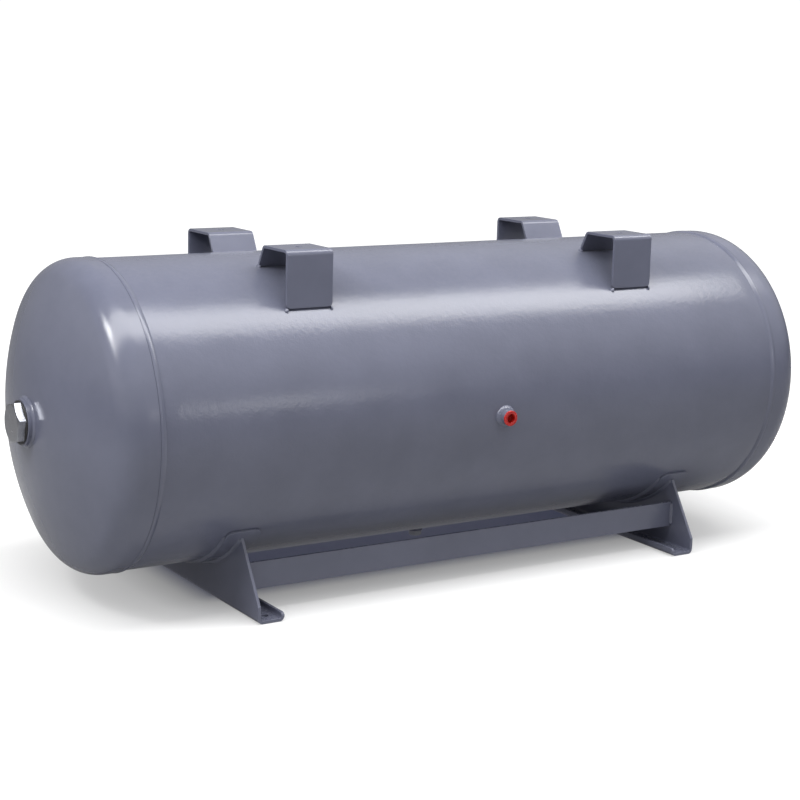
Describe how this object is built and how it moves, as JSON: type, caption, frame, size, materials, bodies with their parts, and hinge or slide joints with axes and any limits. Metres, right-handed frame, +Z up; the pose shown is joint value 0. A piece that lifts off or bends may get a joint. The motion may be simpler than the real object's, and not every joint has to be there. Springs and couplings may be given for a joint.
{
  "type": "horizontal pressure tank",
  "caption": "Horizontal steel pressure tank: rolled shell, dished heads, bent-plate feet joined by tie bars, top brackets, plugged end sockets and a capped side socket.",
  "frame": {"origin": "on the floor, at the centre of the rectangle of the four foot bolt holes", "axes": "+X along the tank to its right end, -Y the front with the side socket, +Z up"},
  "size_m": [1.5038, 0.5188, 0.577],
  "materials": {
    "shell_paint": "blue-grey gloss paint on rolled plate, light orange peel",
    "head_paint": "blue-grey gloss paint on pressed plate, light orange peel",
    "foot_paint": "blue-grey gloss paint on bent plate and flat bar",
    "bracket_paint": "blue-grey gloss paint on bent plate",
    "socket_paint": "blue-grey gloss paint on turned steel",
    "painted_weld": "blue-grey gloss paint over weld bead",
    "end_plug": "bright zinc-plated steel",
    "drain_plug": "bright zinc-plated steel",
    "gasket": "black flat gasket",
    "thread_cap": "red moulded plastic"
  },
  "bodies": {
    "root": {"bracket_back_left": "bracket_paint", "bracket_back_right": "bracket_paint", "bracket_front_left": "bracket_paint", "bracket_front_right": "bracket_paint", "bracket_weld_back_left": "painted_weld", "bracket_weld_back_right": "painted_weld", "bracket_weld_front_left": "painted_weld", "bracket_weld_front_right": "painted_weld", "drain_plug": "drain_plug", "drain_socket": "socket_paint", "drain_weld": "painted_weld", "end_gasket_left": "gasket", "end_gasket_right": "gasket", "end_plug_left": "end_plug", "end_plug_right": "end_plug", "end_socket_left": "socket_paint", "end_socket_right": "socket_paint", "end_socket_weld_left": "painted_weld", "end_socket_weld_right": "painted_weld", "foot_left": "foot_paint", "foot_pad_left": "foot_paint", "foot_pad_right": "foot_paint", "foot_pad_weld_left": "painted_weld", "foot_pad_weld_right": "painted_weld", "foot_right": "foot_paint", "foot_weld_left": "painted_weld", "foot_weld_right": "painted_weld", "girth_weld_left": "painted_weld", "girth_weld_right": "painted_weld", "head_left": "head_paint", "head_right": "head_paint", "shell": "shell_paint", "shell_seam_weld": "painted_weld", "side_cap": "thread_cap", "side_socket": "socket_paint", "side_socket_weld": "painted_weld", "tie_bar_back": "foot_paint", "tie_bar_front": "foot_paint", "tie_weld_back": "painted_weld", "tie_weld_front": "painted_weld"}
  },
  "joints": []
}
